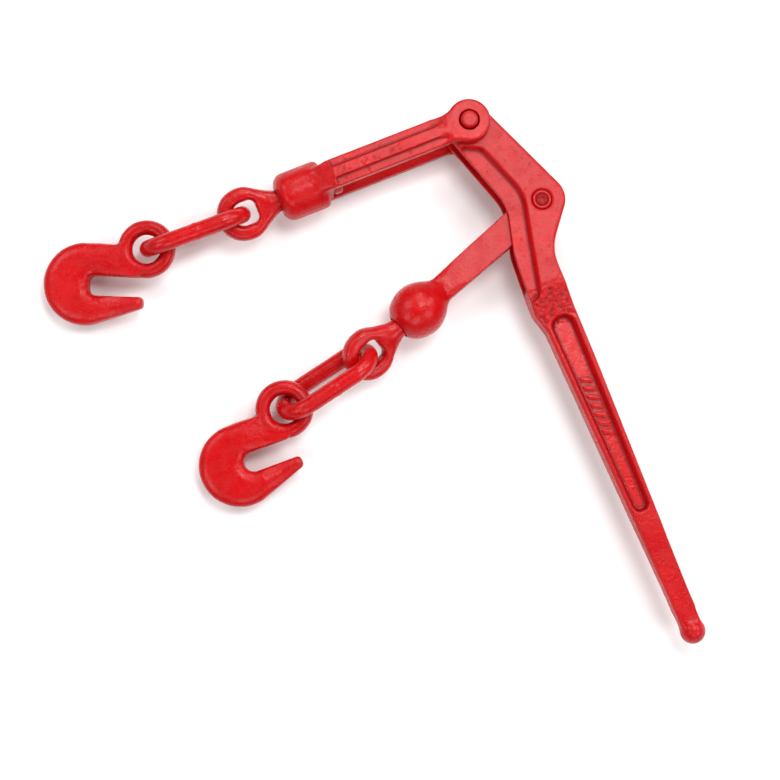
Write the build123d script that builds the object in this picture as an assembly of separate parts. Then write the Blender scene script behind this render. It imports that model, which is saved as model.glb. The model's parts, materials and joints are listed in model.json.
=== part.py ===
from build123d import *
import math
import os

# A lever load binder for 1/4 to 5/16 in chain, lying flat and open.
# +X and +Y lie in the plane that the lever swings in, +Z is up, and the origin is
# under the middle of the footprint. All sizes are in millimetres and degrees.

# Placing of the whole binder
MID_HEIGHT = 19.0        # the plane of the lever, the yoke and the toggle bar
HEAD_X = 49.51           # the yoke pivot, from the middle of the footprint
HEAD_Y = 132.43
LEVER_ANGLE = -46.0      # from the yoke pivot to the bar pivot
YOKE_ANGLE = 202.5       # from the yoke pivot along the yoke
BAR_ANGLE = 222.0        # from the bar pivot along the toggle bar
UPPER_CHAIN_ANGLE = 200.5
LOWER_CHAIN_ANGLE = 213.5
UPPER_HOOK_ANGLE = 0.0
LOWER_HOOK_ANGLE = 23.0
UPPER_SWIVEL_TURN = -11.0  # each swivel's turn about its own shank
LOWER_SWIVEL_TURN = -30.5
UPPER_CHAIN_DROP = 2.7   # each link slopes down until it meets the floor
LOWER_CHAIN_DROP = 5.2
UPPER_HOOK_TILT = 9.6    # each hook leans on its back with its eye held up
LOWER_HOOK_TILT = 7.0

# Lever
PIVOT_SPACING = 57.0     # half of a 4 1/2 in take-up
HEAD_HALF = 10.0         # half the thickness of the forked head
HEAD_ROUND = 12.0        # the head's end round the yoke pivot
SLOT_HALF = 5.5          # half the gap between the two cheeks
SLOT_ROUND = 9.6         # the slot's closed end round the bar pivot
BAR_OPEN_ANGLE = 64.0    # how near the grip the toggle bar can swing
TRUNNION_R = 4.8
TRUNNION_HALF = 19.0     # from the mid plane to a trunnion's end
TRUNNION_CHAMFER = 1.0
GRIP_ANGLE = -21.2       # the grip's line, against the line of the pivots
GRIP_END = (276.8, -101.8)
GRIP_LENGTH = 174.6      # from the neck to the centre of the end knob
KNOB_R = 7.2
GRIP_HALF = 6.5          # half the thickness of the flanged part
GRIP_TIP_HALF = 5.4      # and of the plain part by the knob
GRIP_WAIST = 5.8         # half the width of the plain part
GRIP_ROOT = 9.4          # half the width of the flanged part, at the pocket
NECK_START = -22.0       # where the head's thickness starts to fall away
NECK_END = -9.0
RIM_DROP = 2.4           # the step down to the rim along the head's inner edge
RIM_SLOPE = -38.0
POCKET_START = -7.0
POCKET_DEPTH = 4.0
POCKET_SLOPE = 24.0
POCKET_END = 107.0
LAND = 2.3               # width of the flange's top beside the pocket
SOFT = 1.6               # the forging's edge rounding

# Bar pivot rivet
RIVET_R = 5.2
RIVET_HALF = 10.1
RIVET_DIMPLE_R = 3.8
RIVET_DIMPLE_DEPTH = 1.8
RIVET_GROOVE = 0.9

# Yoke
ARM_IN = 10.6            # from the mid plane to an arm's inner face
ARM_OUT = 17.0
ARM_HALF = 7.7
BOSS_R = 11.6
BOSS_HOLE_R = 5.4
RIB_HALF = 2.9
RIB_STEP = 1.1
U_BOTTOM = 80.0
BARREL_START = 83.0
BARREL_END = 109.0
BARREL_R = 13.3
BARREL_NOSE = 5.5
BORE_R = 6.0

# Toggle bar
BAR_HALF = 5.0
BAR_EYE_R = 8.2
BAR_TAIL = 7.1
BULB_CENTRE = 88.0
BULB_R = 14.6
BULB_END = 102.5
SOCKET_R = 9.5
SOCKET_MOUTH_R = 6.3

# Swivel eyes
EYE_R = 14.2
EYE_HALF = 4.4
EYE_SOFT = 3.3           # the ring's section is nearly round
EYE_HOLE = 6.3
EYE_FLAT = -7.4          # the straight side of the D-shaped hole
NECK_HALF = 5.4
NECK_AT = -19.6
SHANK_R = 5.5
BALL_R = 9.0
BUTTON_R = 8.2
BUTTON_THICK = 5.0
BUTTON_GAP = 0.3
UPPER_EYE_AT = 129.0     # from the yoke pivot
LOWER_EYE_AT = 124.0     # from the bar pivot

# Chain links
WIRE_R = 4.7
LINK_PITCH = 53.3        # between the middles of the end wires
LINK_BEND = 12.2         # bend radius of the wire's centre line
UPPER_LINK_SEAT = 0.8    # from an eye's centre to the end wire, along the chain
LOWER_LINK_SEAT = -0.1
UPPER_HOOK_SEAT = 0.8    # from the far end wire on to a hook's eye, along the chain
LOWER_HOOK_SEAT = 0.2

# Grab hooks
HOOK_HALF = 6.3
HOOK_EYE_R = 15.4
HOOK_EYE_HALF = 4.6      # the eye is forged thinner than the hook, and rounder
HOOK_EYE_HOLE = 7.7
HOOK_EYE_SOFT = 3.8
HOOK_TAPER_START = -24.0
HOOK_TAPER_END = -13.0
HOOK_BACK_X = -54.8
HOOK_BACK_ROUND = 21.8
HOOK_BOTTOM = -40.2
HOOK_LEAN_LINE = 28.5    # the line a lying hook leans back along
THROAT_TOP = -14.0
THROAT_WIDTH = 10.4
THROAT_END = -30.8
UPPER_THROAT_ROUND = 3.6
LOWER_THROAT_ROUND = 5.28
HOOK_SOFT = 2.1


def polar(distance, angle):
    """A plan vector of this length and direction."""
    turn = math.radians(angle)
    return Vector(distance * math.cos(turn), distance * math.sin(turn), 0)


def flat_face(corners):
    """A face with this closed outline of (x, y, corner radius)."""
    points = [(x, y) for x, y, r in corners]
    line = FilletPolyline(*points, radius=[r for x, y, r in corners], close=True)
    return make_face(line)


def prism(corners, half):
    """A plate about the mid plane with this outline of (x, y, corner radius)."""
    return extrude(flat_face(corners), amount=half, both=True)


def thickness_band(side):
    """The space between a side profile of (x, half thickness) and its mirror image."""
    loop = side + [(x, -z) for x, z in reversed(side)]
    face = make_face(Polyline(*loop, close=True))
    return extrude(Plane.XZ * face, amount=80, both=True)


def both_sides(solid):
    """This solid above the mid plane, and its mirror image below."""
    return [solid, mirror(solid, about=Plane.XY)]


def grip_point(along, across, radius):
    """A corner on the grip, measured along and across its own line."""
    start = Vector(*GRIP_END) - polar(GRIP_LENGTH, GRIP_ANGLE)
    spot = start + polar(along, GRIP_ANGLE) + polar(across, GRIP_ANGLE + 90)
    return (spot.X, spot.Y, radius)


def soften(solid, edges, radii):
    """Rounds the edges with the first of the radii that the shape allows."""
    for radius in radii:
        try:
            rounded = fillet(edges, radius)
        except Exception:
            continue
        if rounded.is_valid:
            return rounded
    return solid


def lever_blank():
    """The lever's outline, thinned from the forked head down to the grip."""
    outline = [
        (-HEAD_ROUND, 11.9, 11.8),
        (64.3, 13.3, 12.8),
        (79.7, -14.5, 24.0),
        grip_point(20, GRIP_ROOT, 60.0),
        grip_point(GRIP_LENGTH - 22, GRIP_WAIST, 30.0),
        grip_point(GRIP_LENGTH - 3, GRIP_WAIST, 1.0),
        grip_point(GRIP_LENGTH - 3, -GRIP_WAIST, 1.0),
        grip_point(GRIP_LENGTH - 22, -GRIP_WAIST, 30.0),
        grip_point(0, -GRIP_ROOT, 8.0),
        grip_point(-11, -12.3, 6.0),
        (68.0, -31.5, 30.0),
        (46.5, -15.6, 26.0),
        (-HEAD_ROUND, -12.1, 11.8),
    ]
    band = thickness_band([
        (-160, HEAD_HALF + 1),
        (NECK_START - 4, HEAD_HALF + 1),
        (NECK_START, HEAD_HALF),
        (NECK_END, GRIP_HALF),
        (POCKET_END + 8, GRIP_HALF - 0.4),
        (POCKET_END + 22, GRIP_TIP_HALF),
        (GRIP_LENGTH, GRIP_TIP_HALF),
    ])
    start = Vector(*GRIP_END) - polar(GRIP_LENGTH, GRIP_ANGLE)
    band = Pos(start.X, start.Y, 0) * Rot(0, 0, GRIP_ANGLE) * band
    return prism(outline, HEAD_HALF) & band


def rim_cut():
    """The tool that lowers the rim along the inner edge of one face of the head."""
    rim = [
        (9.0, -11.0, 1.0),
        (15.5, -5.2, 5.0),
        (47.5, -5.9, 22.0),
        (64.0, -17.6, 60.0),
        (93.5, -38.0, 3.0),
        (92.0, -58.0, 1.0),
        (40.0, -40.0, 1.0),
        (9.0, -30.0, 1.0),
    ]
    face = Pos(0, 0, HEAD_HALF - RIM_DROP) * flat_face(rim)
    return extrude(face, amount=RIM_DROP + 1, taper=RIM_SLOPE)


def pocket_cut():
    """The tool for the tapered pocket in one face of the grip."""
    root_half = GRIP_ROOT + 0.2 - LAND
    end_half = GRIP_WAIST + 1.6 - LAND
    corners = [
        grip_point(POCKET_START, root_half, 6.8),
        grip_point(POCKET_END, end_half, 4.8),
        grip_point(POCKET_END, -end_half, 4.8),
        grip_point(POCKET_START, -root_half, 6.8),
    ]
    face = Pos(0, 0, GRIP_HALF + 0.6) * flat_face(corners)
    return extrude(face, amount=-POCKET_DEPTH - 0.6, taper=POCKET_SLOPE)


def bar_slot():
    """The gap between the cheeks that the toggle bar swings in."""
    edge = polar(SLOT_ROUND, 90 - BAR_OPEN_ANGLE)
    side = Vector(PIVOT_SPACING, 0, 0) + edge
    far = side + polar(70, -BAR_OPEN_ANGLE)
    corners = [
        (-40, 40, 1),
        (PIVOT_SPACING - 4, 40, 1),
        (PIVOT_SPACING - 4, SLOT_ROUND + 2, 1),
        (side.X, side.Y, 0.5),
        (far.X, far.Y, 1),
        (-40, far.Y, 1),
    ]
    slot = prism(corners, SLOT_HALF)
    pivot = Pos(PIVOT_SPACING, 0, 0)
    return slot + pivot * Cylinder(SLOT_ROUND, 2 * SLOT_HALF)


def lever_handle():
    """The forged lever: grip, forked head, and the trunnions that the yoke hangs on."""
    body = lever_blank()
    rims = [e for e in body.edges() if e.length > 2 and abs(e.center().Z) > 1]
    body = soften(body, rims, (SOFT, 1.2, 0.8))
    for tool in both_sides(rim_cut()) + both_sides(pocket_cut()):
        body = body - tool
    body = body - bar_slot()
    pivot = Pos(PIVOT_SPACING, 0, 0)
    body = body - pivot * Cylinder(RIVET_R, 2 * HEAD_HALF + 2)
    mouth = Cone(RIVET_R, RIVET_R + RIVET_GROOVE, RIVET_GROOVE)
    mouth = pivot * Pos(0, 0, HEAD_HALF - RIVET_GROOVE / 2) * mouth
    for tool in both_sides(mouth):
        body = body - tool
    length = TRUNNION_HALF - SLOT_HALF - 1
    trunnion = Cylinder(TRUNNION_R, length)
    end = trunnion.edges().sort_by(Axis.Z)[-1]
    trunnion = chamfer(end, TRUNNION_CHAMFER)
    trunnion = Pos(0, 0, TRUNNION_HALF - length / 2) * trunnion
    for pin in both_sides(trunnion):
        body = body + pin
    return body + Pos(*GRIP_END) * Sphere(KNOB_R)


def link_rivet():
    """The rivet through both cheeks that the toggle bar turns on, dimpled at its ends."""
    pin = Cylinder(RIVET_R, 2 * RIVET_HALF)
    pin = chamfer(pin.edges().filter_by(GeomType.CIRCLE), 0.5)
    ball = (RIVET_DIMPLE_R ** 2 + RIVET_DIMPLE_DEPTH ** 2) / (2 * RIVET_DIMPLE_DEPTH)
    dimple = Pos(0, 0, RIVET_HALF + ball - RIVET_DIMPLE_DEPTH) * Sphere(ball)
    for tool in both_sides(dimple):
        pin = pin - tool
    return Pos(PIVOT_SPACING, 0, 0) * pin


def yoke():
    """The forged yoke: two ribbed arms round the lever's head, and the swivel barrel."""
    plan = prism([
        (-2, ARM_HALF, 1.0),
        (BARREL_START + 8, ARM_HALF, 5.0),
        (BARREL_START + 8, -ARM_HALF, 5.0),
        (-2, -ARM_HALF, 1.0),
    ], ARM_OUT)
    plan = plan + Cylinder(BOSS_R, 2 * ARM_OUT)
    waists = [e for e in plan.edges().filter_by(Axis.Z) if 5 < e.center().X < 12]
    plan = soften(plan, waists, (12.0, 8.0, 4.0))
    arms = plan & thickness_band([
        (-BOSS_R - 1, ARM_OUT),
        (U_BOTTOM - 2, ARM_OUT),
        (U_BOTTOM + 2, ARM_OUT - 0.9),
        (BARREL_START + 9, BARREL_R - 3.0),
    ])
    rims = [e for e in arms.edges() if abs(e.center().Z) > ARM_OUT - 0.5 and e.length > 2]
    arms = soften(arms, rims, (1.4, 1.0, 0.6))
    for side in (1, -1):
        for level in (1, -1):
            groove = prism([
                (BOSS_R + 1.2, side * RIB_HALF, 1.0),
                (U_BOTTOM - 2, side * RIB_HALF, 1.0),
                (U_BOTTOM - 2, side * (ARM_HALF + 2), 0.5),
                (BOSS_R + 1.2, side * (ARM_HALF + 2), 0.5),
            ], RIB_STEP)
            arms = arms - Pos(0, 0, level * ARM_OUT) * groove
    barrel = Cylinder(BARREL_R, BARREL_END - BARREL_START)
    ends = barrel.edges().filter_by(GeomType.CIRCLE).sort_by(Axis.Z)
    barrel = fillet(ends[-1], BARREL_NOSE)
    back = barrel.edges().filter_by(GeomType.CIRCLE).sort_by(Axis.Z)[0]
    barrel = fillet(back, 1.5)
    barrel = Pos((BARREL_START + BARREL_END) / 2, 0, 0) * Rot(0, 90, 0) * barrel
    window = prism([
        (-40, 40, 1.0),
        (U_BOTTOM, 40, 1.0),
        (U_BOTTOM, -40, 1.0),
        (-40, -40, 1.0),
    ], ARM_IN)
    body = arms + barrel - window
    body = body - Cylinder(BOSS_HOLE_R, 2 * ARM_OUT + 2)
    bore = Cylinder(BORE_R, 60)
    return body - Pos(BARREL_END - 10, 0, 0) * Rot(0, 90, 0) * bore


def toggle_bar():
    """The flat bar on the rivet, and the bulb that holds the lower swivel's ball."""
    outline = [
        (0, BAR_EYE_R, 0.5),
        (BULB_CENTRE - 12, BAR_TAIL, 0.5),
        (BULB_CENTRE - 12, -BAR_TAIL, 0.5),
        (0, -BAR_EYE_R, 0.5),
    ]
    flat = prism(outline, BAR_HALF) + Cylinder(BAR_EYE_R, 2 * BAR_HALF)
    rims = [e for e in flat.edges() if abs(e.center().Z) > BAR_HALF - 0.1]
    flat = soften(flat, rims, (0.9, 0.6))
    with BuildSketch(Plane.XZ) as half:
        with BuildLine():
            start = (BULB_CENTRE - 23, 4.6)
            Spline(
                start,
                (BULB_CENTRE - 13.5, 8.6),
                (BULB_CENTRE - 7, 12.9),
                (BULB_CENTRE + 0.5, BULB_R),
                (BULB_CENTRE + 8.5, 12.6),
                (BULB_END - 1.4, 8.9),
                tangents=((1, 0), (0.55, -0.83)),
            )
            Line((BULB_END - 1.4, 8.9), (BULB_END, SOCKET_MOUTH_R + 0.6))
            Line((BULB_END, SOCKET_MOUTH_R + 0.6), (BULB_END, 0))
            Line((BULB_END, 0), (start[0], 0))
            Line((start[0], 0), start)
        make_face()
    bulb = revolve(half.sketch, Axis.X)
    body = flat + bulb
    body = body - Cylinder(RIVET_R + 0.35, 4 * BAR_HALF)
    body = body - Pos(BULB_CENTRE, 0, 0) * Sphere(SOCKET_R)
    mouth = Cylinder(SOCKET_MOUTH_R, 30)
    return body - Pos(BULB_CENTRE + 15, 0, 0) * Rot(0, 90, 0) * mouth


def swivel_eye(reach, ball):
    """An eye with a D-shaped hole on a round shank. reach runs from the eye's centre to
    the ball's centre, or to the near face of the button that the shank is headed with."""
    outline = [
        (NECK_AT - 12, NECK_HALF, 0.5),
        (NECK_AT + 1.5, NECK_HALF + 0.6, 8.0),
        (-5.0, EYE_R - 0.6, 9.0),
        (-2.0, EYE_R, 8.0),
        (EYE_R, EYE_R, EYE_R - 0.3),
        (EYE_R, -EYE_R, EYE_R - 0.3),
        (-2.0, -EYE_R, 8.0),
        (-5.0, -EYE_R + 0.6, 9.0),
        (NECK_AT + 1.5, -NECK_HALF - 0.6, 8.0),
        (NECK_AT - 12, -NECK_HALF, 0.5),
    ]
    plate = prism(outline, EYE_HALF)
    rims = [e for e in plate.edges() if abs(e.center().Z) > EYE_HALF - 0.1]
    rims = [e for e in rims if e.center().X > NECK_AT - 11.6]
    plate = soften(plate, rims, (EYE_SOFT, 2.8, 2.2, 1.6))
    plate = plate & Pos(NECK_AT + 40, 0, 0) * Box(80, 80, 80)
    plate = plate - prism([
        (EYE_FLAT, EYE_HOLE, 3.4),
        (EYE_HOLE, EYE_HOLE, EYE_HOLE - 0.1),
        (EYE_HOLE, -EYE_HOLE, EYE_HOLE - 0.1),
        (EYE_FLAT, -EYE_HOLE, 3.4),
    ], EYE_HALF + 1)
    hole = [e for e in plate.edges() if abs(e.center().Z) > EYE_HALF - 0.1]
    hole = [e for e in hole if max(e.bounding_box().max.X, e.bounding_box().max.Y) < 7]
    hole = [e for e in hole if min(e.bounding_box().min.X, e.bounding_box().min.Y) > -8]
    plate = soften(plate, hole, (EYE_SOFT, 2.8, 2.2, 1.6))
    root = NECK_AT + 7
    shank = Cylinder(SHANK_R, reach + root)
    shank = Pos(root - (reach + root) / 2, 0, 0) * Rot(0, 90, 0) * shank
    if ball:
        head = Pos(-reach, 0, 0) * Sphere(BALL_R)
    else:
        head = Cylinder(BUTTON_R, BUTTON_THICK)
        head = fillet(head.edges().filter_by(GeomType.CIRCLE), 1.4)
        head = Pos(-reach - BUTTON_THICK / 2, 0, 0) * Rot(0, 90, 0) * head
    return plate + shank + head


def chain_link():
    """One oval link standing on edge, with its near end wire's middle at the origin."""
    straight = LINK_PITCH - 2 * LINK_BEND
    ring = Rot(90, 0, 0) * Torus(LINK_BEND, WIRE_R)
    half_box = Box(2 * LINK_BEND, 4 * LINK_BEND, 4 * LINK_BEND)
    near = ring & (Pos(-LINK_BEND, 0, 0) * half_box)
    far = ring & (Pos(LINK_BEND, 0, 0) * half_box)
    link = Pos(LINK_BEND, 0, 0) * near + Pos(LINK_PITCH - LINK_BEND, 0, 0) * far
    for level in (LINK_BEND, -LINK_BEND):
        wire = Rot(0, 90, 0) * Cylinder(WIRE_R, straight)
        link = link + Pos(LINK_PITCH / 2, 0, level) * wire
    return link


def grab_hook(throat_round):
    """A flat forged grab hook, its eye's centre at the origin and its throat along X."""
    low = THROAT_TOP - THROAT_WIDTH
    plate = prism([
        (-9.0, 1.8, 0.5),
        (-26.0, 3.4, 30.0),
        (HOOK_BACK_X, 3.7, HOOK_BACK_ROUND),
        (HOOK_BACK_X, HOOK_BOTTOM, HOOK_BACK_ROUND),
        (-29.8, HOOK_BOTTOM, 16.0),
        (-1.6, -31.3, 2.2),
        (-2.0, low - 1.3, 2.0),
        (THROAT_END, low, throat_round),
        (THROAT_END, THROAT_TOP + 0.2, throat_round),
        (-2.0, THROAT_TOP - 1.2, 4.0),
        (0.0, -4.0, 0.5),
    ], HOOK_HALF)
    plate = plate + Cylinder(HOOK_EYE_R - HOOK_EYE_SOFT, 2 * HOOK_HALF)
    corners = plate.edges().filter_by(Axis.Z)
    waist = [e for e in corners if -16 < e.center().X < -8 and e.center().Y > 0]
    plate = soften(plate, waist, (6.0, 5.0, 4.0, 3.0))
    rims = [e for e in plate.edges() if abs(e.center().Z) > HOOK_HALF - 0.1]
    plate = soften(plate, rims, (HOOK_SOFT, 1.8, 1.4, 1.0))
    plate = plate & thickness_band([
        (HOOK_BACK_X - 1, HOOK_HALF),
        (HOOK_TAPER_START, HOOK_HALF),
        (HOOK_TAPER_END, HOOK_EYE_HALF),
        (HOOK_EYE_R + 1, HOOK_EYE_HALF),
    ])
    ring = Cylinder(HOOK_EYE_R, 2 * HOOK_EYE_HALF)
    ring = fillet(ring.edges().filter_by(GeomType.CIRCLE), HOOK_EYE_SOFT)
    plate = plate + ring - Cylinder(HOOK_EYE_HOLE, 2 * HOOK_HALF + 2)
    mouths = plate.edges().filter_by(GeomType.CIRCLE)
    mouths = [e for e in mouths if abs(e.radius - HOOK_EYE_HOLE) < 0.01]
    return soften(plate, mouths, (HOOK_EYE_SOFT, 3.2, 2.6, 2.0))


def lay_hook(eye, angle, tilt):
    """Where a hook lies: its eye held up, leaning back on the far side of its bend."""
    turned = Pos(eye) * Rot(0, 0, angle + HOOK_LEAN_LINE)
    return turned * Rot(0, -tilt, 0) * Rot(0, 0, -HOOK_LEAN_LINE)


def assembly():
    """Every piece in its place: {node name: solid}."""
    head = Vector(HEAD_X, HEAD_Y, MID_HEIGHT)
    rivet = head + polar(PIVOT_SPACING, LEVER_ANGLE)
    lever_place = Pos(head) * Rot(0, 0, LEVER_ANGLE)
    yoke_place = Pos(head) * Rot(0, 0, YOKE_ANGLE)
    bar_place = Pos(rivet) * Rot(0, 0, BAR_ANGLE)

    upper_eye = head + polar(UPPER_EYE_AT, YOKE_ANGLE)
    lower_eye = rivet + polar(LOWER_EYE_AT, BAR_ANGLE)
    upper_wire = head + polar(UPPER_EYE_AT + UPPER_LINK_SEAT, YOKE_ANGLE)
    lower_wire = rivet + polar(LOWER_EYE_AT + LOWER_LINK_SEAT, BAR_ANGLE)

    nodes = {
        "lever_handle": lever_place * lever_handle(),
        "link_rivet": lever_place * link_rivet(),
        "yoke": yoke_place * yoke(),
        "toggle_bar": bar_place * toggle_bar(),
    }
    chains = [
        ("upper", upper_eye, upper_wire, YOKE_ANGLE, UPPER_SWIVEL_TURN, UPPER_CHAIN_ANGLE,
         UPPER_CHAIN_DROP, UPPER_HOOK_SEAT, UPPER_HOOK_ANGLE, UPPER_HOOK_TILT,
         UPPER_EYE_AT - U_BOTTOM + BUTTON_GAP, False, UPPER_THROAT_ROUND),
        ("lower", lower_eye, lower_wire, BAR_ANGLE, LOWER_SWIVEL_TURN, LOWER_CHAIN_ANGLE,
         LOWER_CHAIN_DROP, LOWER_HOOK_SEAT, LOWER_HOOK_ANGLE, LOWER_HOOK_TILT,
         LOWER_EYE_AT - BULB_CENTRE, True, LOWER_THROAT_ROUND),
    ]
    for name, eye, wire, axis, turn, chain, drop, seat, hook, tilt, reach, ball, throat in chains:
        nodes[name + "_swivel_eye"] = (
            Pos(eye) * Rot(0, 0, axis) * Rot(turn, 0, 0) * swivel_eye(reach, ball)
        )
        link_place = Pos(wire) * Rot(0, 0, chain) * Rot(0, drop, 0) * Rot(turn, 0, 0)
        nodes[name + "_chain_link"] = link_place * chain_link()
        flat = LINK_PITCH * math.cos(math.radians(drop)) + seat
        fall = LINK_PITCH * math.sin(math.radians(drop))
        hook_eye = wire + polar(flat, chain) - Vector(0, 0, fall)
        nodes[name + "_grab_hook"] = lay_hook(hook_eye, hook, tilt) * grab_hook(throat)
    return nodes


def main():
    os.makedirs("parts", exist_ok=True)
    for name, solid in assembly().items():
        export_step(solid, "parts/" + name + ".step")


main()
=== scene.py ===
import json
import math

import bmesh
import bpy
import numpy as np
from mathutils import Matrix, Vector
from mathutils.kdtree import KDTree

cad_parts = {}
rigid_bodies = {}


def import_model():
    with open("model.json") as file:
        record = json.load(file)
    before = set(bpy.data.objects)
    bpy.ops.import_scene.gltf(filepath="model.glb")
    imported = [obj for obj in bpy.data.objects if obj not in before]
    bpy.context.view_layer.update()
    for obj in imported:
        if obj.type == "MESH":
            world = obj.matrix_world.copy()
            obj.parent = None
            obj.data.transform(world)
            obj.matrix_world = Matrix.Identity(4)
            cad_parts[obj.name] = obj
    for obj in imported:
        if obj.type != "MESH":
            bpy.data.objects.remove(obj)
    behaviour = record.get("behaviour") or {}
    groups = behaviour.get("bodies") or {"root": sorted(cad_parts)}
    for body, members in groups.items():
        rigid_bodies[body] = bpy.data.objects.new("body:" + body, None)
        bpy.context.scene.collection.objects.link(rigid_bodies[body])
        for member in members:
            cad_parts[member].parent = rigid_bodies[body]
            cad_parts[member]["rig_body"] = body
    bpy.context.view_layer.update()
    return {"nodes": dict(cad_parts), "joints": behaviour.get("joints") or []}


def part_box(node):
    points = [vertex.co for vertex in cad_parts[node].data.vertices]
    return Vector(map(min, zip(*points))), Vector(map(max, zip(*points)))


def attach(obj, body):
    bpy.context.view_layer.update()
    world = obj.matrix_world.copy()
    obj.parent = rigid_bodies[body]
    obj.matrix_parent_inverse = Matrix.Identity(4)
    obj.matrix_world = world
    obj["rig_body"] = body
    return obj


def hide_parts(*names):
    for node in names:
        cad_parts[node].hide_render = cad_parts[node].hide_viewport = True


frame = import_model()
JOINTS = {joint["name"]: joint for joint in frame["joints"]}
MM = 0.001


# ---------------------------------------------------------------- local frames

def joint_at(name):
    """Where a joint is at rest."""
    return np.array(JOINTS[name]["pos_m"])


def plan_frame(origin, along):
    """Rows are the local axes of a piece that lies in the plan, x along its length."""
    x = np.array([along[0], along[1], 0.0])
    x /= np.linalg.norm(x)
    return origin, np.array([x, [-x[1], x[0], 0.0], [0.0, 0.0, 1.0]])


def hinge_frame(name, along):
    """Rows are the local axes of a piece whose local z is this joint's axis."""
    z = np.array(JOINTS[name]["axis"], float)
    z /= np.linalg.norm(z)
    x = np.array(along, float)
    x -= z * x.dot(z)
    x /= np.linalg.norm(x)
    return joint_at(name), np.array([x, np.cross(z, x), z])


def swivel_frame(swivel, hinge):
    """The frame of an eye: it starts at its swivel, x runs along the shank, z is the axis
    of the link's hinge."""
    return joint_at(swivel), hinge_frame(hinge, JOINTS[swivel]["axis"])[1]


def link_frame(near, far):
    """The frame of a chain link, with x from its hinge on the eye to that of the hook."""
    return hinge_frame(near, joint_at(far) - joint_at(near))


def local(points, place):
    """Points in a piece's own frame, in millimetres."""
    return (points - place[0]) @ place[1].T / MM


HEAD = joint_at("yoke_pivot")
RIVET = joint_at("bar_pivot")
LEVER = plan_frame(HEAD, RIVET - HEAD)
YOKE = plan_frame(HEAD, joint_at("upper_swivel") - HEAD)
BAR = plan_frame(RIVET, joint_at("lower_swivel") - RIVET)
UPPER_EYE = swivel_frame("upper_swivel", "upper_link_hinge")
LOWER_EYE = swivel_frame("lower_swivel", "lower_link_hinge")
UPPER_LINK = link_frame("upper_link_hinge", "upper_hook_hinge")
LOWER_LINK = link_frame("lower_link_hinge", "lower_hook_hinge")
LOWER_HOOK_TURN = math.radians(23)
LOWER_HOOK_ALONG = (math.cos(LOWER_HOOK_TURN), math.sin(LOWER_HOOK_TURN), 0.0)
UPPER_HOOK = hinge_frame("upper_hook_hinge", (1.0, 0.0, 0.0))
LOWER_HOOK = hinge_frame("lower_hook_hinge", LOWER_HOOK_ALONG)


# ---------------------------------------------------------------- noise fields

FAR_CORNER = 1000.0     # keeps every lattice number above zero


def lattice(seed, i, j, k):
    """A repeatable random number from 0 to 1 for each lattice corner."""
    n = (i * 73856093) ^ (j * 19349663) ^ (k * 83492791) ^ (seed * 2654435761)
    n = (n ^ (n >> 13)) * 1274126177 & 0x7FFFFFFF
    n = (n ^ (n >> 16)) & 0xFFFF
    return n / 65535.0


def value_noise(points, size, seed):
    """Smooth noise from -1 to 1, with features about size across."""
    p = points / size + FAR_CORNER
    base = np.floor(p).astype(np.int64)
    f = p - base
    f = f * f * (3 - 2 * f)
    total = np.zeros(len(points))
    for dx in (0, 1):
        for dy in (0, 1):
            for dz in (0, 1):
                w = (f[:, 0] if dx else 1 - f[:, 0])
                w = w * (f[:, 1] if dy else 1 - f[:, 1])
                w = w * (f[:, 2] if dz else 1 - f[:, 2])
                corner = lattice(seed, base[:, 0] + dx, base[:, 1] + dy, base[:, 2] + dz)
                total += w * corner
    return 2 * total - 1


def layered(points, size, seed, layers=3):
    """Noise from -1 to 1 in layers, each half the size and half the strength of the last."""
    total = np.zeros(len(points))
    for n in range(layers):
        total += value_noise(points, size / 2 ** n, seed + 17 * n) / 2 ** n
    return total / (2 - 2.0 ** (1 - layers))


def ramp(value, low, high):
    """0 below low, 1 above high, smooth between."""
    t = np.clip((value - low) / (high - low), 0, 1)
    return t * t * (3 - 2 * t)


# ---------------------------------------------------------------- forged meshes

SMOOTH_STEPS = (0.55, -0.57)    # in and out again, so that a piece keeps its size
MELT_STEP = 0.6
MELT_REACH = 30                 # rounds of melting, over the mesh size in millimetres
BEND_ROUNDS = 6
FULL_BEND = 0.12                # the bend of a clear edge, over the mesh size squared
SKIN_DEPTH = 0.05               # the uneven skin lies this far in, to stay inside the solid


def applied(obj):
    """Turns an object's modifiers into its mesh."""
    graph = bpy.context.evaluated_depsgraph_get()
    mesh = bpy.data.meshes.new_from_object(obj.evaluated_get(graph))
    obj.modifiers.clear()
    old = obj.data
    obj.data = mesh
    bpy.data.meshes.remove(old)
    return obj


def remeshed(node, voxel):
    """A copy of a CAD node with an even, fine mesh."""
    mesh = frame["nodes"][node].data.copy()
    bm = bmesh.new()
    bm.from_mesh(mesh)
    bmesh.ops.remove_doubles(bm, verts=bm.verts, dist=1e-6)
    bm.to_mesh(mesh)
    bm.free()
    mesh.materials.clear()
    obj = bpy.data.objects.new(node + "_forged", mesh)
    bpy.context.scene.collection.objects.link(obj)
    mod = obj.modifiers.new("even", "REMESH")
    mod.mode = "VOXEL"
    mod.voxel_size = voxel * MM
    mod.adaptivity = 0.0
    return applied(obj)


def edge_pairs(mesh):
    """The two points of each edge."""
    pairs = np.empty(len(mesh.edges) * 2, np.int32)
    mesh.edges.foreach_get("vertices", pairs)
    return pairs.reshape(-1, 2)


def neighbour_count(pairs, points):
    """How many edges meet at each point."""
    return np.bincount(pairs.ravel(), minlength=len(points)).astype(float)


def neighbour_mean(values, pairs, count):
    """The mean of the values round each point."""
    total = np.zeros_like(values)
    first, second = pairs.T
    for axis in range(values.shape[1]):
        column = values[:, axis]
        onto_first = np.bincount(first, column[second], len(values))
        onto_second = np.bincount(second, column[first], len(values))
        total[:, axis] = onto_first + onto_second
    return total / count[:, None]


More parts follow.
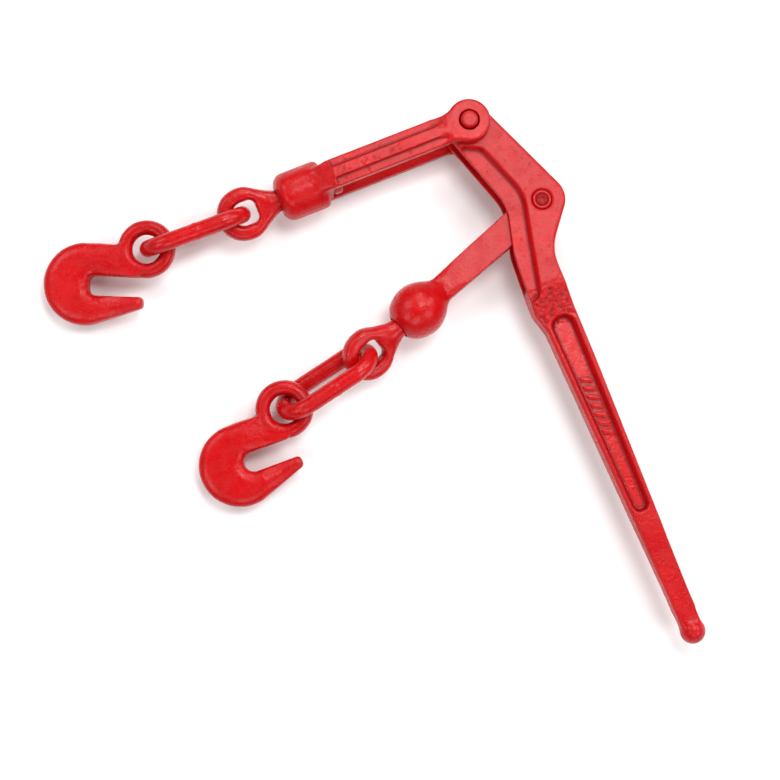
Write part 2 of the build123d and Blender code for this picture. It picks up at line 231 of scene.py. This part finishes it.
def smoothed(points, pairs, rounds):
    """Evens out the mesh's steps without shrinking it."""
    count = neighbour_count(pairs, points)
    for n in range(rounds):
        for step in SMOOTH_STEPS:
            points = points + step * (neighbour_mean(points, pairs, count) - points)
    return points


def melted(points, pairs, weight, rounds):
    """Runs corners and steps into each other where weight is 1."""
    count = neighbour_count(pairs, points)
    for n in range(rounds):
        mean = neighbour_mean(points, pairs, count)
        points = points + MELT_STEP * weight[:, None] * (mean - points)
    return points


def normals_of(mesh):
    """The normal at each point."""
    found = np.empty(len(mesh.vertices) * 3, np.float32)
    mesh.vertex_normals.foreach_get("vector", found)
    return found.reshape(-1, 3).astype(float)


def pillowed(points, place, half, old_round, plan_round, depth, eye):
    """Widens the rounding of a flat forging's edges, leaving the round eye as it is. The
    edges were rounded by old_round, and now fall by depth over plan_round."""
    spot = local(points, place)
    rim = spot[np.abs(spot[:, 2]) < 0.5]
    tree = KDTree(len(rim))
    for n, (x, y, z) in enumerate(rim):
        tree.insert((x, y, 0.0), n)
    tree.balance()
    inset = np.array([tree.find((x, y, 0.0))[2] for x, y, z in spot])

    def height(radius, drop):
        """Half the thickness at this inset, for an edge that falls by drop over radius."""
        part = np.clip(1 - inset / radius, 0, 1)
        return half - drop + drop * np.sqrt(1 - part ** 2)

    ratio = np.minimum(height(plan_round, depth) / height(old_round, old_round), 1)
    flat = ramp(np.hypot(spot[:, 0], spot[:, 1]), *eye)
    spot[:, 2] *= 1 - flat + flat * ratio
    return place[0] + spot @ place[1] * MM


def forge(node, place, voxel, rounds, detail, melt=None, pillow=None):
    """Replaces a CAD node by the same shape as a painted forging: soft edges, a slightly
    uneven skin, and whatever detail(local points, local normals) adds, in millimetres."""
    obj = remeshed(node, voxel)
    mesh = obj.data
    points = np.empty(len(mesh.vertices) * 3, np.float32)
    mesh.vertices.foreach_get("co", points)
    points = points.reshape(-1, 3).astype(float)
    if pillow:
        points = pillowed(points, place, *pillow)
    pairs = edge_pairs(mesh)
    if melt:
        points = melted(points, pairs, melt(local(points, place)), round(MELT_REACH / voxel))
    points = smoothed(points, pairs, rounds)
    mesh.vertices.foreach_set("co", points.ravel())
    mesh.update()
    normal = normals_of(mesh)
    spot = local(points, place)
    facing = normal @ place[1].T
    lift, rough, worn = detail(spot, facing)
    coarse = 0.055 * layered(spot, 9.0, 5, 2)
    fine = 0.018 * layered(spot, 2.2, 9, 2)
    lift = lift + coarse + fine - SKIN_DEPTH
    points = points + normal * (lift * MM)[:, None]
    low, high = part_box(node)
    points = np.clip(points, np.array(low), np.array(high))
    mesh.vertices.foreach_set("co", points.ravel())
    mesh.update()
    count = neighbour_count(pairs, points)
    bend = neighbour_mean(points, pairs, count) - points
    bend = -(bend * normals_of(mesh)).sum(1)[:, None]
    for n in range(BEND_ROUNDS):
        bend = 0.5 * bend + 0.5 * neighbour_mean(bend, pairs, count)
    edge = np.clip(bend[:, 0] / (voxel * voxel * MM * FULL_BEND), -1, 1)
    for name, values in (("edge", edge), ("rough_skin", rough), ("worn", worn)):
        layer = mesh.attributes.new(name, "FLOAT", "POINT")
        layer.data.foreach_set("value", np.asarray(values, np.float32))
    mesh.polygons.foreach_set("use_smooth", np.ones(len(mesh.polygons), bool))
    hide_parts(node)
    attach(obj, frame["nodes"][node]["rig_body"])
    return obj


# ---------------------------------------------------------------- the detail of each piece

GRIP_END = np.array([276.8, -101.8])    # the middle of the knob, in the lever's own frame
GRIP_TURN = math.radians(-21.2)
GRIP_LENGTH = 174.6
TRUNNION_RADIUS = 6.5
POCKET_START = -4
POCKET_END = 104
POCKET_HALF = 4.6
MARK_START = 28
MARK_MIDDLE = 45.5
MARK_REACH = 17.5
MARK_PITCH = 5.0
MARK_SLANT = 0.5
MARK_HALF_HEIGHT = 4.5
MARK_TALL = 0.42
ARM_START = 8
ARM_END = 82
BAR_FLAT_END = 66
FLAT_FACING = 0.7                       # a face that looks this much along z is a flat one
RIDGE_WIDE = 0.55
RIDGE_TALL = 0.16
WELD_X = 26.6


def parting_ridge(height, side):
    """The trimmed flash line round a forging, where its two dies met."""
    return RIDGE_TALL * np.exp(-(height / RIDGE_WIDE) ** 2) * ramp(side, 0.6, 0.9)


def grip_axes(x, y):
    """How far a point is along the grip's own line and to its left, from its start."""
    start = GRIP_END - GRIP_LENGTH * np.array([math.cos(GRIP_TURN), math.sin(GRIP_TURN)])
    along = (x - start[0]) * math.cos(GRIP_TURN) + (y - start[1]) * math.sin(GRIP_TURN)
    across = -(x - start[0]) * math.sin(GRIP_TURN) + (y - start[1]) * math.cos(GRIP_TURN)
    return along, across


def knob_melt(spot):
    """The knob runs smoothly into the end of the grip."""
    far = np.hypot(spot[:, 0] - GRIP_END[0], spot[:, 1] - GRIP_END[1])
    return ramp(far, 3.0, 5.0) * (1 - ramp(far, 10.0, 14.0))


def barrel_melt(spot):
    """The arms run smoothly into the barrel, its nose is round, and so are the ends of the
    hollows beside the ribs."""
    x, y, z = spot.T
    barrel = ramp(x, 80.5, 84) * ramp(np.hypot(y, z), 8.5, 10)
    hollow_ends = 0.4 * ramp(x, 10, 13) * (1 - ramp(x, 15, 19)) * (np.abs(z) > 14.5)
    return barrel + hollow_ends


def flare_melt(spot):
    """The flat bar flares into the bulb."""
    return ramp(spot[:, 0], 58, 66) * (1 - ramp(spot[:, 0], 74, 78))


def neck_melt(spot):
    """The eye's flat sides run into its round shank."""
    return ramp(spot[:, 0], -21, -18) * (1 - ramp(spot[:, 0], -10.5, -8))


def taper_melt(spot):
    """The hook thins towards its eye without a step."""
    far = np.hypot(spot[:, 0], spot[:, 1])
    return ramp(far, 14.5, 17) * (1 - ramp(far, 30, 34)) * (spot[:, 0] < -8) * (spot[:, 1] > -13)


def lever_detail(spot, facing):
    """The lever has a pitted neck, dents on the flats of its head, a parting ridge round
    its edge, and a row of slanting raised bars in the pocket of its grip."""
    x, y, z = spot.T
    steep = np.hypot(facing[:, 0], facing[:, 1])
    along, across = grip_axes(x, y)
    head = 1 - ramp(along, -30, -10)
    trunnion = np.hypot(x, y) < TRUNNION_RADIUS
    neck = ramp(along, -26, -20) * (1 - ramp(along, -6, -2)) * (1 - steep ** 2)
    pits = layered(spot, 2.2, 31, 2)
    blotch = layered(spot, 5.0, 37, 2)
    lift = neck * (1.1 * pits * np.abs(pits) ** 0.3 + 0.2 * blotch - 0.25)
    lift = lift + parting_ridge(z, steep) * (1 - trunnion) * (along > -18)
    flats = head * (1 - steep) * (1 - trunnion)
    dents = ramp(layered(spot, 2.6, 41, 2), 0.30, 0.62)
    lift = lift - 0.10 * flats * dents
    in_pocket = (along > POCKET_START) & (along < POCKET_END)
    in_pocket = in_pocket & (np.abs(across) < POCKET_HALF) & (steep < 0.5)
    lift = lift + 0.05 * in_pocket * pits
    stroke = (along - MARK_SLANT * across - MARK_START) % MARK_PITCH
    stroke = np.abs(stroke - MARK_PITCH / 2)
    marks = ramp(-stroke, -1.35, -0.75) * ramp(-np.abs(across), -3.0, -2.4)
    marks = marks * (np.abs(along - MARK_MIDDLE) < MARK_REACH)
    marks = marks * (steep < 0.6) * (np.abs(z) < MARK_HALF_HEIGHT)
    lift = lift + MARK_TALL * marks
    rough = 0.2 + 0.45 * head * (1 - steep) + 0.4 * neck - 0.2 * in_pocket
    worn = head * 0.4 + 0.5 * ramp(along, 120, 170)
    return lift, rough, worn


def yoke_detail(spot, facing):
    """The yoke has dents on the flats of its arms and a parting ridge along its barrel."""
    x, y, z = spot.T
    steep = np.abs(facing[:, 1])
    arm = (x > ARM_START) & (x < ARM_END)
    barrel = ramp(x, 84, 90)
    dents = ramp(layered(spot, 2.4, 43, 2), 0.22, 0.55)
    lift = -0.13 * arm * (np.abs(facing[:, 2]) > FLAT_FACING) * dents
    lift = lift + barrel * parting_ridge(z, steep)
    lift = lift + 0.05 * barrel * layered(spot, 3.0, 47, 2)
    return lift, 0.25 + 0.45 * arm, 0.35 + 0 * x


def bar_detail(spot, facing):
    """The toggle bar has dents on its flats and a parting ridge all along its side."""
    x, y, z = spot.T
    steep = np.abs(facing[:, 1])
    flat = np.abs(facing[:, 2])
    dents = ramp(layered(spot, 3.0, 53, 2), 0.30, 0.6)
    lift = -0.08 * (x < BAR_FLAT_END) * (flat > FLAT_FACING) * dents
    lift = lift + parting_ridge(z, steep)
    return lift, 0.2 + 0.4 * (x < BAR_FLAT_END) * flat, 0.3 + 0 * x


def flat_detail(spot, facing):
    """An eye or a hook has a parting ridge round its edge."""
    steep = np.hypot(facing[:, 0], facing[:, 1])
    lift = parting_ridge(spot[:, 2], steep) + 0.05 * layered(spot, 4.0, 59, 2)
    return lift, 0.2 + 0 * steep, 0.3 + 0 * steep


def link_detail(spot, facing):
    """A chain link is bent wire with a slight flash at its weld, on one straight side."""
    x, y, z = spot.T
    side = ramp(z, 6, 9)
    weld = np.exp(-((x - WELD_X) / 1.6) ** 2) * side
    lift = 0.22 * weld - 0.10 * np.exp(-((x - WELD_X) / 5.0) ** 2) * side
    return lift - 0.12, 0.1 + 0 * x, 0.05 + 0 * x


def rivet_detail(spot, facing):
    """The rivet heads are smooth, and worn most."""
    return 0 * spot[:, 0], 0.2 + 0 * spot[:, 0], 0.8 + 0 * spot[:, 0]


FINE = 0.45      # the size of the mesh, in millimetres
# A hook's half thickness, its rounding in the solid, the width and depth of its new
# rounding, and the radii between which its eye ends.
HOOK_PILLOW = (6.3, 2.1, 6.5, 3.9, (15.5, 22.0))
pieces = [
    forge("lever_handle", LEVER, FINE, 6, lever_detail, knob_melt),
    forge("link_rivet", plan_frame(RIVET, RIVET - HEAD), FINE * 0.5, 3, rivet_detail),
    forge("yoke", YOKE, FINE, 12, yoke_detail, barrel_melt),
    forge("toggle_bar", BAR, FINE, 16, bar_detail, flare_melt),
    forge("upper_swivel_eye", UPPER_EYE, FINE, 20, flat_detail, neck_melt),
    forge("lower_swivel_eye", LOWER_EYE, FINE, 20, flat_detail, neck_melt),
    forge("upper_chain_link", UPPER_LINK, FINE, 6, link_detail),
    forge("lower_chain_link", LOWER_LINK, FINE, 6, link_detail),
    forge("upper_grab_hook", UPPER_HOOK, FINE, 30, flat_detail, taper_melt, HOOK_PILLOW),
    forge("lower_grab_hook", LOWER_HOOK, FINE, 30, flat_detail, taper_melt, HOOK_PILLOW),
]


# ---------------------------------------------------------------- red enamel

DEEP_RED = (0.455, 0.0018, 0.0036)
BRIGHT_RED = (0.545, 0.0028, 0.0048)
# painted shade: the deep red that the hollows are darkened towards
SHADED_HOLLOW_RED = (0.20, 0.0010, 0.0025)
# painted shade: the darker red that the rounded convex edges are darkened towards
SHADED_EDGE_RED = (0.40, 0.0025, 0.0045)
SPECK_RED = (0.28, 0.0012, 0.0028)
CHIPPED = (0.16, 0.035, 0.03)


def red_enamel(name, seed, rough, coat):
    """Thick glossy enamel on a forging, with painted shade that darkens the hollows and the
    rounded edges, and with orange peel, dark specks, a few chips and a little scuffing."""
    mat = bpy.data.materials.new(name)
    mat.use_nodes = True
    nodes, links = mat.node_tree.nodes, mat.node_tree.links
    nodes.clear()
    out = nodes.new("ShaderNodeOutputMaterial")
    paint = nodes.new("ShaderNodeBsdfPrincipled")
    links.new(paint.outputs["BSDF"], out.inputs["Surface"])
    paint.inputs["IOR"].default_value = 1.52
    paint.inputs["Coat Weight"].default_value = coat
    paint.inputs["Coat Roughness"].default_value = 0.16
    paint.inputs["Coat IOR"].default_value = 1.5
    paint.inputs["Specular IOR Level"].default_value = 0.2

    where = nodes.new("ShaderNodeTexCoord")

    def noise(scale, detail, roughness=0.55, offset=0.0):
        """Noise fixed to the piece, with features about 1 / scale metres across."""
        shift = nodes.new("ShaderNodeVectorMath")
        shift.operation = "ADD"
        shift.inputs[1].default_value = (seed + offset, 0.37 * seed, 0.11 * seed)
        links.new(where.outputs["Object"], shift.inputs[0])
        tex = nodes.new("ShaderNodeTexNoise")
        tex.inputs["Scale"].default_value = scale
        tex.inputs["Detail"].default_value = detail
        tex.inputs["Roughness"].default_value = roughness
        links.new(shift.outputs[0], tex.inputs["Vector"])
        return tex.outputs["Fac"]

    def attribute(key):
        """One of the values that forge leaves on the mesh."""
        node = nodes.new("ShaderNodeAttribute")
        node.attribute_name = key
        return node.outputs["Fac"]

    def remap(value, a, b, c, d):
        """Turns the range a to b into c to d, smoothly, and stops there."""
        node = nodes.new("ShaderNodeMapRange")
        node.interpolation_type = "SMOOTHSTEP"
        for key, number in zip(("From Min", "From Max", "To Min", "To Max"), (a, b, c, d)):
            node.inputs[key].default_value = number
        links.new(value, node.inputs["Value"])
        return node.outputs["Result"]

    def math_node(kind, a, b):
        """One sum or product of sockets or numbers."""
        node = nodes.new("ShaderNodeMath")
        node.operation = kind
        node.use_clamp = kind != "ADD"
        for socket, value in zip(node.inputs, (a, b)):
            if hasattr(value, "is_output"):
                links.new(value, socket)
            else:
                socket.default_value = value
        return node.outputs[0]

    def mix(factor, a, b):
        """Colour a where factor is 0, and b where it is 1."""
        node = nodes.new("ShaderNodeMix")
        node.data_type = "RGBA"
        links.new(factor, node.inputs[0])
        for socket, value in ((node.inputs[6], a), (node.inputs[7], b)):
            if hasattr(value, "is_output"):
                links.new(value, socket)
            else:
                socket.default_value = (*value, 1.0)
        return node.outputs[2]

    patches = remap(noise(38.0, 4.0), 0.35, 0.68, 0.0, 1.0)
    colour = mix(patches, DEEP_RED, BRIGHT_RED)
    # painted shade: concave places, where the edge value is below zero, are darkened towards a
    # deep red
    hollow_shade = remap(attribute("edge"), -0.45, -0.05, 0.75, 0.0)
    colour = mix(hollow_shade, colour, SHADED_HOLLOW_RED)
    # painted shade: the rounded convex edges are darkened towards a darker red
    edge = remap(attribute("edge"), 0.25, 0.85, 0.0, 0.5)
    colour = mix(edge, colour, SHADED_EDGE_RED)
    specks = remap(noise(880.0, 3.0, 0.6, 3.0), 0.46, 0.66, 0.0, 0.8)
    specks = math_node("MULTIPLY", specks, attribute("rough_skin"))
    colour = mix(specks, colour, SPECK_RED)
    chip_noise = remap(noise(900.0, 3.0, 0.6, 9.0), 0.60, 0.66, 0.0, 1.0)
    chips = math_node("MULTIPLY", chip_noise, remap(attribute("edge"), 0.8, 1.0, 0.0, 1.0))
    chips = math_node("MULTIPLY", chips, attribute("worn"))
    colour = mix(chips, colour, CHIPPED)
    links.new(colour, paint.inputs["Base Color"])

    scuff = remap(noise(150.0, 5.0, 0.65, 21.0), 0.42, 0.72, rough, rough + 0.22)
    level = math_node("ADD", scuff, math_node("MULTIPLY", attribute("rough_skin"), 0.16))
    links.new(level, paint.inputs["Roughness"])

    peel = noise(650.0, 2.0, 0.5, 5.0)
    grain = noise(1500.0, 3.0, 0.6, 7.0)
    peel = math_node("MULTIPLY", peel, 0.6)
    height = math_node("ADD", peel, math_node("MULTIPLY", grain, 0.25))
    bump = nodes.new("ShaderNodeBump")
    bump.inputs["Strength"].default_value = 0.9
    bump.inputs["Distance"].default_value = 0.0004
    links.new(height, bump.inputs["Height"])
    links.new(bump.outputs["Normal"], paint.inputs["Normal"])
    return mat


LEVER_PAINT = red_enamel("lever_red_enamel", 1.3, 0.24, 0.08)
FORGED_PAINT = red_enamel("forging_red_enamel", 4.7, 0.23, 0.08)
CHAIN_PAINT = red_enamel("chain_red_enamel", 8.1, 0.23, 0.15)
for piece in pieces:
    piece.data.materials.clear()
    if piece.name.startswith(("lever", "link_rivet")):
        piece.data.materials.append(LEVER_PAINT)
    elif "chain_link" in piece.name or "eye" in piece.name:
        piece.data.materials.append(CHAIN_PAINT)
    else:
        piece.data.materials.append(FORGED_PAINT)
for node in frame["nodes"].values():
    node.data.materials.clear()
    node.data.materials.append(FORGED_PAINT)


# ---------------------------------------------------------------- stage

FLOOR_HALF = 3.0
RING_RADIUS = 1.25
RING_HEIGHT = 1.15
RING_SIZE = (0.7, 0.7)
RING_WATTS = (9.0, 9.4, 8.0, 7.0, 6.8, 7.8)


def studio_floor():
    """A white floor far larger than the view."""
    mesh = bpy.data.meshes.new("studio_floor")
    size = FLOOR_HALF
    corners = [(-size, -size, 0), (size, -size, 0), (size, size, 0), (-size, size, 0)]
    mesh.from_pydata(corners, [], [(0, 1, 2, 3)])
    obj = bpy.data.objects.new("studio_floor", mesh)
    bpy.context.scene.collection.objects.link(obj)
    mat = bpy.data.materials.new("studio_white")
    mat.use_nodes = True
    base = mat.node_tree.nodes["Principled BSDF"]
    base.inputs["Base Color"].default_value = (0.93, 0.93, 0.93, 1)
    base.inputs["Roughness"].default_value = 0.9
    base.inputs["Specular IOR Level"].default_value = 0.1
    mesh.materials.append(mat)


def softbox(name, location, target, size, energy):
    """A white rectangular lamp that faces its target."""
    data = bpy.data.lights.new(name, "AREA")
    data.shape = "RECTANGLE"
    data.size, data.size_y = size
    data.energy = energy
    obj = bpy.data.objects.new(name, data)
    obj.location = location
    aim = Vector(target) - Vector(location)
    obj.rotation_euler = aim.to_track_quat("-Z", "Y").to_euler()
    bpy.context.scene.collection.objects.link(obj)


studio_floor()
world = bpy.data.worlds.new("studio")
world.use_nodes = True
world.node_tree.nodes["Background"].inputs["Color"].default_value = (1, 1, 1, 1)
world.node_tree.nodes["Background"].inputs["Strength"].default_value = 0.08
bpy.context.scene.world = world
bpy.context.scene.view_settings.view_transform = "Standard"
softbox("glare_box", (0.24, 0.37, 1.3), (0.05, 0.1, 0), (0.40, 0.46), 7.4)
for number, watts in enumerate(RING_WATTS):
    turn = math.radians(30 + 60 * number)
    spot = (RING_RADIUS * math.cos(turn), RING_RADIUS * math.sin(turn), RING_HEIGHT)
    softbox("ring_box_%d" % number, spot, (0, 0, 0), RING_SIZE, watts)


# ---------------------------------------------------------------- camera

LENS = 87.9
CAMERA_PLACE = (-0.0600, -0.1284, 1.019)
CAMERA_TARGET = (0.0084, -0.0107, 0.019)


def camera():
    """The camera looks almost straight down, with the world's y up in its picture."""
    data = bpy.data.cameras.new("photo_view")
    data.lens = LENS
    data.sensor_width = 36
    data.dof.use_dof = False
    data.clip_end = 20
    obj = bpy.data.objects.new("photo_view", data)
    bpy.context.scene.collection.objects.link(obj)
    target = Vector(CAMERA_TARGET)
    place = Vector(CAMERA_PLACE)
    back = (place - target).normalized()
    right = Vector((0, 1, 0)).cross(back).normalized()
    up = back.cross(right)
    turn = Matrix((right, up, back)).transposed().to_4x4()
    obj.matrix_world = Matrix.Translation(place) @ turn
    bpy.context.scene.camera = obj


camera()
